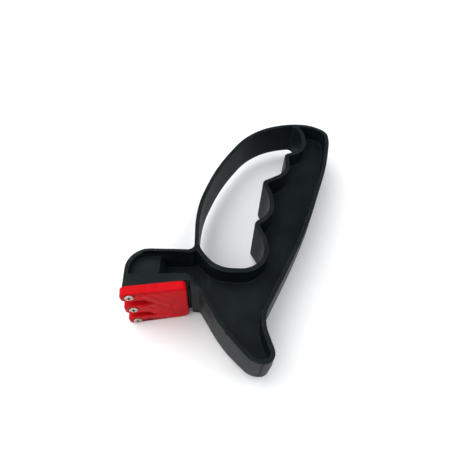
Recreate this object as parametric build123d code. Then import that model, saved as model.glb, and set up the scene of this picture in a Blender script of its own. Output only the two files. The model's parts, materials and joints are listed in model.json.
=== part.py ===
from build123d import *
from math import cos, radians, sin, tan
import os

# Hand-held pull-through sharpener for knives and scissors, in millimetres.
# Plan axes while modelling: +X towards the back of the grip, +Y towards the top of the finger loop,
# Z through the thickness with the mid-plane at Z = 0, and X = 0, Y = 0 just below the loop's floor.
# place() then stands the finished pieces on Z = 0, centred in X and Y.

# Handle
rim_wall = 2.1          # wall that runs all round the handle
web_thickness = 2.0     # web at mid-depth that joins the walls
draft = 1.5             # degrees that the outer walls lean in from the parting line at mid-depth
blank_half = 20.0       # half thickness of the handle before its envelope is cut
bow_band = 2.1          # band of the finger guard
half_bow = 8.8          # half thickness of the finger guard and of the loop's top
half_toe = 8.8          # half thickness at the toe of the foot
half_foot = 10.2        # half thickness of the foot and below the loop
half_grip = 12.5        # half thickness half way up the grip
foot_from = -24.0       # the foot has its full thickness from here up
foot_to = 4.0           # to here, then the grip swells
grip_from = 32.0        # the grip has its full thickness from here
grip_to = 46.0          # to here, then it thins to the loop's top
bow_from = 86.0         # the loop's top is thin from here up
nose_to = -11.0         # the nose has its full thickness up to this X
neck_from = 1.0         # and is down to the foot's thickness at this X
guard_from = 7.0        # the finger guard thins from this Y
guard_to = 27.0         # and is down to its own thickness at this Y
ease_share = 0.45       # how softly one thickness runs into the next
ridge_inner = 0.7       # radius of the channel's corners behind the ridges between the fingers
groove_radius = 10.0    # curve of each groove towards its ridges
crotch_radius = 2.4     # rounding where the guard leaves the nose
grip_top = 96.6         # height of the loop's top above the plan origin
grip_back = 60.8        # reach of the grip's back from the plan origin
toe_drop = 36.9         # drop of the foot's toe below the plan origin
toe_radius = 4.4
loop_corner = 2.8       # rounding where the guard's band meets the first groove
loop_floor = 1.8        # height of the finger loop's floor above the plan origin
nose_reach = 36.9       # reach of the nose's tip from the plan origin
nose_top = 9.0          # height of the nose's upper wall
nose_corner = 9.8       # radius of the nose's upper corner

# Cutting head
head_angle = 8.4        # slope of the head's seat against X
head_length = 25.8
head_thickness = 3.8
head_taper = 0.7        # narrower at the root than at the lobes, each side
head_overhang = 0.8     # the head stands this far out past the nose, each side
lobe_margin = 2.8       # head past the axis of each outer screw
head_corner = 2.6       # radius of the root's corners
head_edge = 0.8         # rounding of the outer face's edge
head_end_gap = 1.2      # open crevice past the root
seat_stock = 0.5        # left on the seat by the moulded outline, then cut flat
neck_step = 2.6         # rise from the seat to the neck past the crevice
lobe_radius = 2.6
seat_y = -9.7           # tip end of the seat
seat_lead = 0.7         # the seat starts this far in from the head's tip
seat_wall = 6.2         # wall behind the seat at the tip
seat_wall_root = 3.2    # and at the root
neck_run = 3.4          # from the crevice's end to the neck's corner
neck_fall = 3.7         # from the seat's plane out to the neck's corner
neck_radius = 2.2
notch_guide = 2.0       # from a notch's centre to its straight side
notch_mouth = 2.6       # from a notch's centre to its other side, at the tips of the lobes
notch_neck = 1.8        # from a notch's centre to that side, where it starts to close
notch_shoulder = 9.0    # depth at which a notch starts to close
notch_depth = 12.1
blade_slot = 4.4        # width of the blade's way through the nose
slot_flat = 0.6         # flat between the rounded corners of the way's end
slot_beyond_notch = 1.0 # the way through is this much deeper than the notch
floor_skin = 1.8        # skin between a blade slot and the raised floor over it
floor_margin = 1.1      # raised floor runs this far past the slot
floor_ramp = 2.6        # run of the slope from the raised floor to the web

# Tongue that keys the head's root into the seat
tongue_length = 1.6
tongue_width = 9.0
tongue_depth = 2.2
tongue_inset = 5.0      # from the root end
tongue_gap = 0.15

# Cutter plates
cutter_length = 7.0
cutter_width = 3.0
cutter_thickness = 1.0
cutter_cross = 9.0      # crossing point of a pair, from the tip
cutter_ahead = 5.0      # edge length from the crossing towards the tip
knife_half_angle = 20.0
scissors_half_angle = 30.0
cutter_gap = 0.05       # play round a plate in its pocket

# Screws
screw_pitch = 11.2      # one screw in each lobe, a notch half way between
screw_inset = 3.6       # from the tip
screw_radius = 1.0
screw_length = 7.0      # below the head
screw_head_radius = 1.8
screw_head_height = 1.2
screw_sink = 0.7        # depth of the counterbore
sink_gap = 0.15         # round the screw's head
hole_gap = 0.15         # round the shank in the head
pilot_gap = 0.02        # round the shank in the handle
pilot_end = 0.5         # past the screw's point
screw_edge = 0.4        # rounding of the head's rim
screw_point = 0.6       # chamfer of the point
recess_arm = 1.25
recess_width = 0.62
recess_depth = 0.7

notch_offset = screw_pitch / 2                   # notches are this far each side of the mid-plane
head_tip_half = screw_pitch + lobe_margin        # half width at the lobes
head_root_half = head_tip_half - head_taper      # half width at the root
half_nose = head_tip_half - head_overhang        # half thickness of the nose, beside the head
reach = 200.0                                    # longer than anything it cuts


def seat_plane():
    """Plane of the seat: local X from the tip to the root, local Y along +Z, normal out of the handle."""
    slope = radians(head_angle)
    along = (cos(slope), sin(slope), 0)
    outward = (sin(slope), -cos(slope), 0)
    return Plane(origin=(-nose_reach, seat_y, 0), x_dir=along, z_dir=outward)


def seat_point(along, inward=0.0):
    """Plan point on the seat, or inward of it."""
    point = seat_plane().from_local_coords(Vector(along, 0, -inward))
    return (point.X, point.Y)


def corner_arc(before, corner, after, radius):
    """Start, middle and end of the arc that rounds a corner between two straight runs."""
    point = Vector(*corner[:2])
    back = Vector(*before[:2]) - point
    ahead = Vector(*after[:2]) - point
    half_turn = radians(180 - back.get_angle(ahead)) / 2
    if radius is None:
        radius = 0.49 * min(back.length, ahead.length) / tan(half_turn)
    run = radius * tan(half_turn)
    inset = radius / cos(half_turn) - radius
    middle = point + (back.normalized() + ahead.normalized()).normalized() * inset
    return point + back.normalized() * run, middle, point + ahead.normalized() * run


def rounded_path(corners, closed=True):
    """Edges through corners (x, y), rounded as far as their runs allow, or by the radius in (x, y, radius)."""
    edges = []
    count = len(corners)
    inner = range(count) if closed else range(1, count - 1)
    stops = [] if closed else [Vector(*corners[0][:2])]
    for index in inner:
        corner = corners[index]
        radius = corner[2] if len(corner) == 3 else None
        if radius == 0:
            stops.append(Vector(*corner[:2]))
            continue
        arc = corner_arc(corners[index - 1], corner, corners[(index + 1) % count], radius)
        edges.append(ThreePointArc(*arc))
        stops += [arc[0], None, arc[2]]
    stops.append(stops[0] if closed else Vector(*corners[-1][:2]))
    for first, second in zip(stops[:-1], stops[1:]):
        if first is not None and second is not None:
            edges.append(Line(first, second))
    return edges


def outer_face():
    """Outline of the whole handle, with the finger loop still filled."""
    root = head_length + head_end_gap
    top = grip_top
    back = grip_back
    toe = -toe_drop
    return Face(Wire(rounded_path([
        (-9.2, nose_top, crotch_radius),
        (-10.0, 34.5),
        (-0.5, 61.6),
        (13.0, top - 13.6),
        (24.2, top - 4.7),
        (38.5, top),
        (back - 9.4, top),
        (back, top - 5.7),
        (back, top - 14),
        (55.7, 62.0),
        (41.2, 22.4),
        (31.2, 2.6),
        (20.2, -18.1),
        (20.2, -23.5),
        (24.7, toe, toe_radius),
        (24.7 - 2.3 * toe_radius, toe, 2 * toe_radius),
        (2.5, -24.7),
        (*seat_point(root + neck_run, -neck_fall), neck_radius),
        (*seat_point(root, -neck_step), 0),
        (*seat_point(root, -seat_stock), 0),
        (*seat_point(seat_lead, -seat_stock), 0),
        (-nose_reach, nose_top, nose_corner),
    ])))


def groove_path():
    """Edges along the four finger grooves and the loop's floor."""
    floor = loop_floor
    ridge = rim_wall + ridge_inner
    return rounded_path([
        (41.5, grip_top),
        (45.6, grip_top - 7.6),
        (45.1, 75.6, groove_radius),
        (34.9, 70.6, ridge),
        (33.6, 55.6, groove_radius),
        (21.3, 48.4, ridge),
        (24.9, 38.5),
        (23.6, 28.8, groove_radius),
        (16.3, 23.9, ridge),
        (20.9, 14.6),
        (20.6, floor + 5.6),
        (14.8, floor),
        (2.0, floor),
        (-6.4, floor + 7.4),
        (-9.2, floor + 16),
    ], closed=False)


def groove_face():
    """Everything on the loop's side of the finger grooves and of the loop's floor."""
    path = groove_path()
    start = path_end(path, lambda point: point.Y)
    finish = path_end(path, lambda point: -point.X)
    far = grip_back  # clear of the whole guard
    corners = [finish, Vector(-far, finish.Y), Vector(-far, start.Y + far), Vector(start.X, start.Y + far), start]
    return Face(Wire(path + [Line(a, b) for a, b in zip(corners[:-1], corners[1:])]))


def path_end(path, height):
    """End point of the path that lies furthest by the given measure."""
    points = [edge @ end for edge in path for end in (0, 1)]
    return max(points, key=height)


def hole_face(outer):
    """Finger loop, between the guard's band and the finger grooves."""
    inside = offset(outer, amount=-bow_band)
    hole = (inside & groove_face()).faces().sort_by(SortBy.AREA)[-1]
    corner = hole.vertices().sort_by(lambda point: point.X + point.Y)[-1]
    return hole.fillet_2d(loop_corner, [corner])


def channel_faces(outer):
    """Floor plan of the open channel between the walls."""
    inner = offset(outer, amount=-rim_wall)
    kept = offset(groove_face(), amount=rim_wall)
    south = Face(Wire.make_polygon([
        (-nose_reach - 5, seat_y - 5),
        (-nose_reach - 5, seat_y + seat_wall),
        seat_point(0, seat_wall),
        seat_point(head_length + 0.8, seat_wall_root),
        seat_point(head_length + head_end_gap + 0.6, rim_wall),
        seat_point(head_length, -5),
    ]))
    return (inner - kept - south).faces()


def slab(face, low, high):
    """Flat piece with the plan of a face, from one height to another."""
    return extrude(Pos(0, 0, low) * face, amount=high - low, dir=(0, 0, 1))


def envelope_edge(stations, side):
    """Run of edges through (place, half thickness) stations, level at each of them."""
    edges = []
    for (place_1, half_1), (place_2, half_2) in zip(stations[:-1], stations[1:]):
        start = (place_1, side * half_1)
        finish = (place_2, side * half_2)
        if half_1 == half_2:
            edges.append(Line(start, finish))
            continue
        pull = (place_2 - place_1) * ease_share
        edges.append(Bezier(start, (place_1 + pull, side * half_1), (place_2 - pull, side * half_2), finish))
    return edges


def envelope(stations, plane):
    """Space within the stations' half thickness either side of the mid-plane, stretched across a plane."""
    upper = envelope_edge(stations, 1)
    lower = envelope_edge(stations, -1)
    ends = [Line(upper[0] @ 0, lower[0] @ 0), Line(upper[-1] @ 1, lower[-1] @ 1)]
    section = Face(Wire(upper + lower + ends))
    return extrude(plane * section, amount=reach, dir=plane.z_dir, both=True)


def grip_envelope():
    """Space that gives the foot and the grip their thickness along Y."""
    return envelope([
        (-toe_drop - 3, half_toe),
        (foot_from, half_foot),
        (foot_to, half_foot),
        (grip_from, half_grip),
        (grip_to, half_grip),
        (bow_from, half_bow),
        (grip_top + 5, half_bow),
    ], Plane.YZ)


def guard_envelope():
    """Space that gives the nose and the finger guard their thickness."""
    across = envelope([
        (-nose_reach - 5, half_nose),
        (nose_to, half_nose),
        (neck_from, half_foot),
        (grip_back, half_foot),
    ], Plane.XZ)
    along = envelope([
        (-toe_drop - 5, half_nose),
        (guard_from, half_nose),
        (guard_to, half_bow),
        (grip_top + 5, half_bow),
    ], Plane.YZ)
    return across & along


def grip_side():
    """Plan of the foot and the grip, split from the nose and the guard."""
    return Face(Wire.make_polygon([
        (1.3, -toe_drop - 10), (4, loop_floor), (28, 80), (36, grip_top + 10),
        (grip_back + 10, grip_top + 10), (grip_back + 10, -toe_drop - 10),
    ]))


def floor_height():
    """Height of the nose's raised floor over the mid-plane."""
    return notch_offset + blade_slot / 2 + floor_skin


def slot_end():
    """Plan X where the blade slots end."""
    return seat_point(notch_depth + slot_beyond_notch)[0]


def nose_block(channel):
    """Raised floors of the nose on both sides of the web, which slope down to it."""
    high = floor_height()
    low = web_thickness / 2
    step = slot_end() + floor_margin
    profile = Face(Wire.make_polygon([
        (-reach, 0, high),
        (step, 0, high),
        (step + floor_ramp, 0, low),
        (step + floor_ramp, 0, -low),
        (step, 0, -high),
        (-reach, 0, -high),
    ]))
    block = extrude(profile, amount=reach, dir=(0, 1, 0), both=True)
    return block & slab(channel, -high, high)


def blade_slots():
    """Two ways through the nose, in line with the notches and open at the tip."""
    length = slot_end() + reach
    slots = []
    for side in (1, -1):
        box = Box(length, reach, blade_slot, align=(Align.MAX, Align.CENTER, Align.CENTER))
        box = fillet(box.edges().filter_by(Axis.Y).group_by(Axis.X)[-1], (blade_slot - slot_flat) / 2)
        slots.append(Pos(slot_end(), 0, side * notch_offset) * box)
    return slots


def screw_places():
    """Seat-plane places of the three screws."""
    return [(screw_inset, screw_pitch * row) for row in (-1, 0, 1)]


def cutter_face(side, upper, grow=0.0):
    """Plan of one cutter plate in the seat plane: side picks the notch, upper the plate of the pair."""
    half_angle = knife_half_angle if side > 0 else scissors_half_angle
    lean = half_angle if upper else -half_angle
    plate = Rectangle(cutter_length + 2 * grow, cutter_width + 2 * grow)
    shift = cutter_length / 2 - cutter_ahead
    lift = cutter_width / 2 if upper else -cutter_width / 2
    plate = Pos(shift, lift) * plate
    return Pos(cutter_cross, side * notch_offset) * Rot(0, 0, -lean) * plate


def cutter(side, upper):
    """Carbide plate: the upper one lies in the head, the lower one in the handle's seat."""
    base = 0 if upper else -cutter_thickness
    plane = seat_plane()
    return extrude(plane * (Pos(0, 0, base) * cutter_face(side, upper)), amount=cutter_thickness,
                   dir=plane.z_dir)


def cutter_pocket(side, upper):
    """Pocket that takes a cutter plate with play all round."""
    base = 0 if upper else -cutter_thickness
    plane = seat_plane()
    return extrude(plane * (Pos(0, 0, base) * cutter_face(side, upper, cutter_gap)),
                   amount=cutter_thickness, dir=plane.z_dir)


def seat_cylinder(place, radius, low, high):
    """Round bar along the seat's normal, between two distances out from the seat."""
    plane = seat_plane()
    return extrude(plane * (Pos(place[0], place[1], low) * Circle(radius)), amount=high - low,
                   dir=plane.z_dir)


def tongue(grow=0.0):
    """Tongue on the back of the head, or its pocket when grown."""
    plane = seat_plane()
    plan = Rectangle(tongue_length + 2 * grow, tongue_width + 2 * grow)
    centre = head_length - tongue_inset
    depth = tongue_depth + grow
    return extrude(plane * (Pos(centre, 0, -depth) * plan), amount=depth, dir=plane.z_dir)


def screw_low():
    """How far the screw's point lies behind the seat."""
    return screw_length - (head_thickness - screw_sink)


def outer_blank(outer):
    """Outline given thickness, with walls that lean in from the parting line to both faces."""
    upper = extrude(outer, amount=blank_half, dir=(0, 0, 1), taper=draft)
    return upper + mirror(upper, Plane.XY)


def seat_cut():
    """Space outside the seat, from beyond the tip to the end of the crevice past the head's root."""
    length = head_length + head_end_gap + reach
    box = Box(length, reach, 3 * neck_step, align=(Align.MIN, Align.CENTER, Align.MIN))
    return seat_plane() * (Pos(-reach, 0, 0) * box)


def handle():
    """Black one-piece handle: walls, web, nose, finger guard and foot."""
    outer = outer_face()
    blank = outer_blank(outer) - slab(hole_face(outer), -blank_half, blank_half) - seat_cut()
    grip = slab(grip_side(), -blank_half, blank_half)
    body = ((blank & grip) & grip_envelope()) + ((blank - grip) & guard_envelope())
    low = web_thickness / 2
    for channel in channel_faces(outer):
        body -= slab(channel, low, blank_half)
        body -= slab(channel, -blank_half, -low)
        body += nose_block(channel)
    for slot in blade_slots():
        body -= slot & nose_zone()
    for place in screw_places():
        body -= seat_cylinder(place, screw_radius + pilot_gap, -screw_low() - pilot_end, 1)
    for side in (1, -1):
        body -= cutter_pocket(side, False)
    body -= tongue(tongue_gap)
    return body


def nose_zone():
    """Part of the nose that the blade slots may cut."""
    return Pos(-nose_reach, 0, 0) * Box(2 * nose_reach, reach, reach)


def head_blank(plane):
    """Head before its notches are cut, with its outer face's edge rounded."""
    outline = Polygon(
        (0, -head_tip_half), (head_length, -head_root_half),
        (head_length, head_root_half), (0, head_tip_half), align=None,
    ).face()
    roots = [v for v in outline.vertices() if v.X > head_length / 2]
    outline = outline.fillet_2d(head_corner, roots)
    blank = extrude(plane * outline, amount=head_thickness, dir=plane.z_dir)
    outer = blank.faces().sort_by(Axis(plane.origin, plane.z_dir))[-1]
    return fillet(outer.edges(), head_edge)


def lobed_face():
    """Plan of the head's three lobes, wide enough to keep all the rest of the head."""
    far = 2 * head_length
    wide = head_tip_half - head_root_half
    outline = Polygon(
        (0, -head_tip_half), (far, -head_tip_half + wide * far / head_length),
        (far, head_tip_half - wide * far / head_length), (0, head_tip_half), align=None,
    ).face()
    for side in (1, -1):
        mid = side * notch_offset
        notch = Polygon(
            (0, mid - notch_guide), (notch_depth, mid - notch_guide), (notch_shoulder, mid + notch_neck),
            (0, mid + notch_mouth), align=None,
        ).face()
        outline = (outline - notch).face()
    tips = [v for v in outline.vertices() if v.X < notch_depth / 2]
    return outline.fillet_2d(lobe_radius, tips)


def head_cover():
    """Red head with three lobes and two notches."""
    plane = seat_plane()
    lobes = extrude(plane * (Pos(0, 0, -1) * lobed_face()), amount=head_thickness + 2, dir=plane.z_dir)
    body = head_blank(plane) & lobes
    for place in screw_places():
        body -= seat_cylinder(place, screw_radius + hole_gap, -1, head_thickness + 1)
        body -= seat_cylinder(place, screw_head_radius + sink_gap, head_thickness - screw_sink,
                              head_thickness + 1)
    for side in (1, -1):
        body -= cutter_pocket(side, True)
    body += tongue()
    return body


def screw(place):
    """Pan-head screw with a cross recess and a pointed end."""
    plane = seat_plane()
    seat = head_thickness - screw_sink
    top = seat + screw_head_height
    end = -screw_low()
    cap = seat_cylinder(place, screw_head_radius, seat, top)
    rim = cap.edges().filter_by(GeomType.CIRCLE).sort_by(Axis(plane.origin, plane.z_dir))[-1]
    cap = fillet(rim, screw_edge)
    shank = seat_cylinder(place, screw_radius, end, seat)
    point = shank.edges().filter_by(GeomType.CIRCLE).sort_by(Axis(plane.origin, plane.z_dir))[0]
    shank = chamfer(point, screw_point)
    body = cap + shank
    for turn in (0, 90):
        arm = Rot(0, 0, turn) * Rectangle(2 * recess_arm, recess_width)
        arm = Pos(place[0], place[1], top - recess_depth) * arm
        body -= extrude(plane * arm, amount=recess_depth + 1, dir=plane.z_dir)
    return body


def place(pieces):
    """Stand the pieces on Z = 0, centred in X and Y."""
    box = Compound(children=[solid for piece in pieces.values() for solid in piece.solids()]).bounding_box()
    centre = box.center()
    shift = Pos(-centre.X, -centre.Y, -box.min.Z)
    return {name: shift * piece for name, piece in pieces.items()}


def build():
    """Every piece by node name."""
    pieces = {
        "handle": handle(),
        "head_cover": head_cover(),
        "knife_cutter_upper": cutter(1, True),
        "knife_cutter_lower": cutter(1, False),
        "scissors_cutter_upper": cutter(-1, True),
        "scissors_cutter_lower": cutter(-1, False),
        "head_screws": Compound([screw(spot).solids()[0] for spot in screw_places()]),
    }
    return place(pieces)


os.makedirs("parts", exist_ok=True)
for name, piece in build().items():
    solids = piece.solids()
    shape = solids[0] if len(solids) == 1 else Compound(solids)
    export_step(shape, f"parts/{name}.step")
    size = shape.bounding_box().size
    print(f"{name}: {len(solids)} solid(s), {shape.volume:.1f} mm3, {size.X:.1f} x {size.Y:.1f} x {size.Z:.1f}")
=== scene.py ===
import bpy
import json
from math import cos, radians, sin
from mathutils import Matrix, Vector

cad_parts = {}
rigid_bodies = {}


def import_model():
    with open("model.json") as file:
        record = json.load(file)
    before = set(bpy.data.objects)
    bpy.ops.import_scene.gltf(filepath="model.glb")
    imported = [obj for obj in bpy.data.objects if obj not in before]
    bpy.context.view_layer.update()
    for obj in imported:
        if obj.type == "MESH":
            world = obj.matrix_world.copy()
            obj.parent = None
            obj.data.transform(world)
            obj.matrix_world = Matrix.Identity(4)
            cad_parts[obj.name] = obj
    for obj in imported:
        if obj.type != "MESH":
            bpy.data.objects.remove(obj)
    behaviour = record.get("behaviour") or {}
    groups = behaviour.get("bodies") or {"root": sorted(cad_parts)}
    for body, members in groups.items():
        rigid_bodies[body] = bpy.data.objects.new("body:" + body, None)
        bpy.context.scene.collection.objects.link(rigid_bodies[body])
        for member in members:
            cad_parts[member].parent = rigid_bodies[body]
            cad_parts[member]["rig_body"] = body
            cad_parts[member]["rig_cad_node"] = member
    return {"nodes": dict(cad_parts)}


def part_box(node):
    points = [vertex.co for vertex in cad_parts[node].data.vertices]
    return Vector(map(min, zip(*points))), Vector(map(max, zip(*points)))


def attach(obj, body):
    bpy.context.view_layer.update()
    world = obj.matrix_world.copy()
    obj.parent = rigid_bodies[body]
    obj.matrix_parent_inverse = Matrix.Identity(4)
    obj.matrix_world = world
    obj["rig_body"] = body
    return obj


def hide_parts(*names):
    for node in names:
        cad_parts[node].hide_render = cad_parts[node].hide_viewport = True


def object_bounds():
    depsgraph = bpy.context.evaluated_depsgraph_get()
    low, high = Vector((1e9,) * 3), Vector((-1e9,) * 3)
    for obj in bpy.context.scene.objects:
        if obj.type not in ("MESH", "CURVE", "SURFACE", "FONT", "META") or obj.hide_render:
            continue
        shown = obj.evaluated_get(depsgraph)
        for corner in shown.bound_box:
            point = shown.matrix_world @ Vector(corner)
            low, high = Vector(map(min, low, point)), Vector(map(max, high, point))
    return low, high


# Pull-through sharpener for knives and scissors: black moulded handle, red forked head, three small screws.

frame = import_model()
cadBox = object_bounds()
print("frame loaded:", sorted(frame["nodes"]))

mm = 0.001
headLow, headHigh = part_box("head_cover")
middle = (headLow.z + headHigh.z) / 2  # height of the handle's mid-plane
headMid = (headLow.x + headHigh.x) / 2

seatSet = {                            # the sloped seat that the head lies on
    "tip": Vector((-48.85, -39.55)) * mm,
    "slope": radians(8.4),
}
seatStart = seatSet["tip"]
seatAlong = Vector((cos(seatSet["slope"]), sin(seatSet["slope"])))


# Shader building

class Flow:  # a shader socket that can be added, multiplied and so on
    def __init__(self, tree, socket):
        self.tree = tree
        self.socket = socket

    def join(self, operation, first, second):
        return self.tree.add("ShaderNodeMath", {"operation": operation}, {0: first, 1: second})

    def __add__(self, other):
        return self.join("ADD", self, other)

    def __radd__(self, other):
        return self.join("ADD", other, self)

    def __sub__(self, other):
        return self.join("SUBTRACT", self, other)

    def __rsub__(self, other):
        return self.join("SUBTRACT", other, self)

    def __mul__(self, other):
        return self.join("MULTIPLY", self, other)

    def __rmul__(self, other):
        return self.join("MULTIPLY", other, self)

    def __truediv__(self, other):
        return self.join("DIVIDE", self, other)

    def __pow__(self, other):
        return self.join("POWER", self, other)

    def __abs__(self):
        return self.tree.add("ShaderNodeMath", {"operation": "ABSOLUTE"}, {0: self})


class Paint:  # one material and its nodes
    def __init__(self, name):
        self.material = bpy.data.materials.new(name)
        self.material.use_nodes = True
        self.nodes = self.material.node_tree.nodes
        self.links = self.material.node_tree.links
        self.shader = self.nodes["Principled BSDF"]
        self.place = self.add("ShaderNodeTexCoord", {}, {}, "Object")

    def add(self, kind, settings, inputs, output=0):
        node = self.nodes.new(kind)
        for key, value in settings.items():
            if key == "stops":
                self.setStops(node.color_ramp, value)
            else:
                setattr(node, key, value)
        for key, value in inputs.items():
            self.feed(node.inputs[key], value)
        return Flow(self, node.outputs[output])

    def setStops(self, ramp, stops):
        for index, (position, colour) in enumerate(stops):
            stop = ramp.elements[index] if index < 2 else ramp.elements.new(position)
            stop.position = position
            stop.color = colour if len(colour) == 4 else (*colour, 1)

    def feed(self, socket, value):
        if isinstance(value, Flow):
            self.links.new(value.socket, socket)
        elif hasattr(value, "__len__") and len(value) == 3 and socket.type == "RGBA":
            socket.default_value = (*value, 1)
        else:
            socket.default_value = value

    def surface(self, **inputs):
        for key, value in inputs.items():
            self.feed(self.shader.inputs[key.replace("_", " ")], value)
        return self.material

    def noise(self, size, detail=2.0):
        return self.add("ShaderNodeTexNoise", {}, {
            "Vector": self.place, "Scale": 1 / size, "Detail": detail}, "Fac")

    def ramp(self, value, stops):
        return self.add("ShaderNodeValToRGB", {"stops": stops}, {"Fac": value})

    def axis(self, index):
        return self.add("ShaderNodeSeparateXYZ", {}, {"Vector": self.place}, index)

    def fold(self, value, half):
        return self.add("ShaderNodeMath", {"operation": "PINGPONG"}, {0: value, 1: half})

    def blend(self, share, first, second):
        return self.add("ShaderNodeMix", {"data_type": "RGBA"}, {0: share, 6: first, 7: second}, 2)

    def bump(self, height, strength, distance, under=None):
        inputs = {"Height": height, "Strength": strength, "Distance": distance}
        if under is not None:
            inputs["Normal"] = under
        return self.add("ShaderNodeBump", {}, inputs)


# Camera

cameraSet = {
    "place": Vector((-11.95, -104.85, 159.33)) * mm,
    "look": Vector((0.03576, 0.57929, -0.81434)),
    "roll": 4.34,        # degrees
    "lens": 29.41,       # mm on a 36 mm sensor
}


def addCamera():
    bpy.ops.object.camera_add(location=cameraSet["place"])
    camera = bpy.context.object
    camera.name = "camera"
    aim = cameraSet["look"].to_track_quat("-Z", "Y").to_matrix()
    camera.rotation_euler = (aim @ Matrix.Rotation(radians(cameraSet["roll"]), 3, "Z")).to_euler()
    camera.data.lens = cameraSet["lens"]
    camera.data.sensor_width = 36
    camera.data.clip_start = 0.01
    bpy.context.scene.camera = camera
    print("camera placed")


# Light

lightSet = {
    "sky": 0.46,
    "skyTint": (0.93, 0.97, 1.0),
    "boxes": {           # place in mm, disk width in m, watts
        "keyLight": ((-300, 120, 620), 0.80, 4.1),
        "frontLight": ((-260, -400, 470), 0.50, 1.1),
        "rightLight": ((420, 20, 480), 0.60, 1.3),
    },
}

floorSet = {
    "size": 6.0,
    "low": (0.93, 0.93, 0.93),
    "high": (0.95, 0.95, 0.95),
}


def addSoftbox(name, place, size, power):
    bpy.ops.object.light_add(type="AREA", location=place)
    lamp = bpy.context.object
    lamp.name = name
    lamp.data.shape = "DISK"
    lamp.data.size = size
    lamp.data.energy = power
    lamp.rotation_euler = (Vector((0, 0, middle)) - place).to_track_quat("-Z", "Y").to_euler()


def addLights():
    world = bpy.data.worlds.new("paleRoom")
    bpy.context.scene.world = world
    world.use_nodes = True
    sky = world.node_tree.nodes["Background"]
    sky.inputs["Color"].default_value = (*lightSet["skyTint"], 1)
    sky.inputs["Strength"].default_value = lightSet["sky"]
    for name, (place, size, power) in lightSet["boxes"].items():
        addSoftbox(name, Vector(place) * mm, size, power)
    bpy.context.scene.view_settings.view_transform = "Standard"
    print("lights:", len(lightSet["boxes"]))


def addFloor():
    bpy.ops.mesh.primitive_plane_add(size=floorSet["size"], location=(0, 0, cadBox[0][2]))
    floor = bpy.context.object
    floor.name = "floor"
    paint = Paint("paleFloor")
    tone = paint.ramp(paint.noise(4 * mm), [(0.3, floorSet["low"]), (0.7, floorSet["high"])])
    floor.data.materials.append(paint.surface(Base_Color=tone, Roughness=0.9))
    print("floor laid")


# Materials

blackSet = {
    "low": (0.0042, 0.0070, 0.0080),
    "high": (0.0078, 0.0122, 0.0134),
    # painted highlight: lighter colour for the bevelled edges
    "edgeSheen": (0.024, 0.028, 0.031),
    # painted shade: near-black line along the mould's parting line
    "partingShade": (0.001, 0.001, 0.001),
    "index": 1.175,
    "parting": 0.22 * mm,     # half width of the line where the mould closed
}


def blackPlastic(name, edge):
    paint = Paint(name)
    grain = paint.noise(0.30 * mm, 3.0)
    cloud = paint.noise(11 * mm, 2.0)
    tone = paint.ramp(cloud, [(0.35, blackSet["low"]), (0.65, blackSet["high"])])
    # Painted highlight: the bevelled edges (edge slot) get a lighter, glossier colour in noise patches.
    sheenPatches = paint.ramp(paint.noise(2.5 * mm, 4.0), [(0.40, (0, 0, 0)), (0.68, (1, 1, 1))])
    tone = paint.blend(edge * sheenPatches, tone, blackSet["edgeSheen"])
    gloss = 0.38 + 0.10 * cloud + 0.06 * grain - 0.10 * edge * sheenPatches
    # Painted shade: a near-black line along the parting line at mid-height; the bump gives the line its
    # shape.
    height = paint.axis(2)
    line = abs(height - middle) / blackSet["parting"]
    seam = paint.ramp(line, [(0.5, (0, 0, 0)), (1.0, (1, 1, 1))])
    tone = paint.blend(seam, blackSet["partingShade"], tone)
    paint.shader.inputs["IOR"].default_value = blackSet["index"]
    coarse = paint.bump(grain, 0.22, 0.02 * mm)
    return paint.surface(Base_Color=tone, Roughness=gloss, Normal=paint.bump(seam, 0.8, 0.10 * mm, coarse))


redSet = {
    "low": (0.47, 0.003, 0.006),
    "high": (0.57, 0.005, 0.010),
    "index": 1.12,
    "chevron": 2.3 * mm,      # half pitch of the relief
    "relief": 0.30 * mm,
}


def redPlastic():
    paint = Paint("redPlastic")
    grain = paint.noise(0.28 * mm, 3.0)
    cloud = paint.noise(6 * mm, 2.0)
    tone = paint.ramp(cloud, [(0.3, redSet["low"]), (0.7, redSet["high"])])
    gloss = 0.40 + 0.08 * cloud + 0.05 * grain
    across = abs(paint.axis(2) - middle)
    wave = paint.fold(paint.axis(0) + 0.8 * across, redSet["chevron"]) / redSet["chevron"]
    inset = paint.ramp(abs(paint.axis(0) - headMid) / (7 * mm), [(0.85, (1, 1, 1)), (1.0, (0, 0, 0))])
    relief = wave * inset
    paint.shader.inputs["IOR"].default_value = redSet["index"]
    coarse = paint.bump(grain, 0.15, 0.015 * mm)
    return paint.surface(Base_Color=tone, Roughness=gloss,
                         Normal=paint.bump(relief, 0.8, redSet["relief"], coarse))


screwSet = {
    "pitch": 11.2 * mm,
    "inset": 3.6 * mm,        # from the head's tip
    "top": 4.3 * mm,          # of the screw's head, out from the seat
    "recess": 1.22 * mm,      # radius that the cross stays inside
    "low": (0.44, 0.39, 0.35),
    "high": (0.56, 0.50, 0.46),
    # painted shade for the cross recess
    "recessShade": (0.006, 0.006, 0.006),
}


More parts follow.
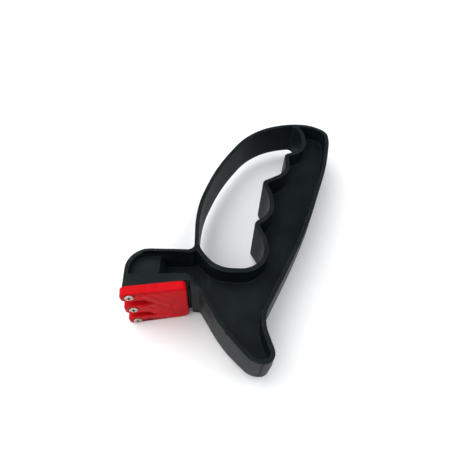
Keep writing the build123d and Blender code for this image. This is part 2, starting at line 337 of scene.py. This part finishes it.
def screwSteel():
    paint = Paint("screwSteel")
    grain = paint.noise(0.12 * mm, 2.0)
    tone = paint.ramp(grain, [(0.3, screwSet["low"]), (0.7, screwSet["high"])])
    away = paint.axis(0) - seatStart.x
    side = paint.axis(1) - seatStart.y
    along = away * seatAlong.x + side * seatAlong.y - screwSet["inset"]
    out = away * seatAlong.y - side * seatAlong.x
    row = paint.fold(paint.axis(2) - middle, screwSet["pitch"] / 2)
    radius = (along ** 2 + row ** 2) ** 0.5
    # Painted shade: inside the cross radius and below the head's top, the steel is painted near-black,
    # non-metallic and rough.
    inner = paint.ramp(radius / screwSet["recess"], [(0.92, (1, 1, 1)), (1.0, (0, 0, 0))])
    sunk = paint.ramp((screwSet["top"] - out) / (0.2 * mm), [(0.25, (0, 0, 0)), (0.7, (1, 1, 1))])
    recessShadeMask = inner * sunk
    tone = paint.blend(recessShadeMask, tone, screwSet["recessShade"])
    return paint.surface(Base_Color=tone, Metallic=1 - recessShadeMask, Roughness=0.26 + 0.14 * grain + 0.5 * recessShadeMask)


def carbide():
    paint = Paint("carbide")
    stretched = paint.add("ShaderNodeMapping", {}, {"Vector": paint.place, "Scale": (1, 1, 12)})
    grain = paint.add("ShaderNodeTexNoise", {}, {"Vector": stretched, "Scale": 1 / (0.4 * mm), "Detail": 3.0})
    return paint.surface(Base_Color=(0.33, 0.33, 0.34), Metallic=1.0, Roughness=0.28 + 0.2 * grain,
                         Normal=paint.bump(grain, 0.2, 0.01 * mm))


# Pieces

def pickOnly(piece):
    bpy.ops.object.select_all(action="DESELECT")
    piece.select_set(True)
    bpy.context.view_layer.objects.active = piece


def copyNode(node, name, flat=0):
    pickOnly(frame["nodes"][node])
    bpy.ops.object.duplicate()
    piece = bpy.context.object
    piece.name = name
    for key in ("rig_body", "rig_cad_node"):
        if key in piece:
            del piece[key]
    piece.parent = None
    bpy.ops.object.mode_set(mode="EDIT")
    bpy.ops.mesh.select_all(action="SELECT")
    bpy.ops.mesh.remove_doubles(threshold=0.002 * mm)
    if flat:
        bpy.ops.mesh.dissolve_limited(angle_limit=radians(flat))
    bpy.ops.object.mode_set(mode="OBJECT")
    return piece


def bevelEdges(piece, width, segments, angle, edgeSlot=-1):
    bevel = piece.modifiers.new("edges", "BEVEL")
    bevel.width = width
    bevel.segments = segments
    bevel.limit_method = "ANGLE"
    bevel.angle_limit = radians(angle)
    bevel.use_clamp_overlap = False
    bevel.harden_normals = True
    bevel.material = edgeSlot
    bevel.miter_outer = "MITER_ARC"
    pickOnly(piece)
    bpy.ops.object.modifier_apply(modifier=bevel.name)


def smoothFaces(piece, angle):
    pickOnly(piece)
    bpy.ops.object.shade_smooth_by_angle(angle=radians(angle))


def dress(piece, materials, node):
    piece.data.materials.clear()
    for material in materials:
        piece.data.materials.append(material)
    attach(piece, "root")
    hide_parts(node)


handleSet = {
    "flat": 0.5,         # degrees, merges faces flatter than this
    "edge": 0.28 * mm,
    "segments": 2,
    "sharp": 30,         # degrees
}


def makeHandle():
    piece = copyNode("handle", "handleShell", handleSet["flat"])
    smoothFaces(piece, handleSet["sharp"])
    dress(piece, [blackPlastic("blackPlastic", 0), blackPlastic("edgeSheenPlastic", 1)], "handle")
    bevelEdges(piece, handleSet["edge"], handleSet["segments"], handleSet["sharp"], 1)
    print("handle:", len(piece.data.polygons), "faces")


headSet = {
    "edge": 0.2 * mm,
    "segments": 2,
    "sharp": 30,
}


def makeHead():
    piece = copyNode("head_cover", "headCover")
    smoothFaces(piece, headSet["sharp"])
    bevelEdges(piece, headSet["edge"], headSet["segments"], headSet["sharp"])
    dress(piece, [redPlastic()], "head_cover")
    print("head:", len(piece.data.polygons), "faces")


def finishNode(node, material):
    piece = frame["nodes"][node]
    for place in piece.material_slots:
        place.material = material
    print("finished:", node)


addCamera()
addLights()
addFloor()
makeHandle()
makeHead()
finishNode("head_screws", screwSteel())
plate = carbide()
for pair in ("knife", "scissors"):
    for half in ("upper", "lower"):
        finishNode(f"{pair}_cutter_{half}", plate)
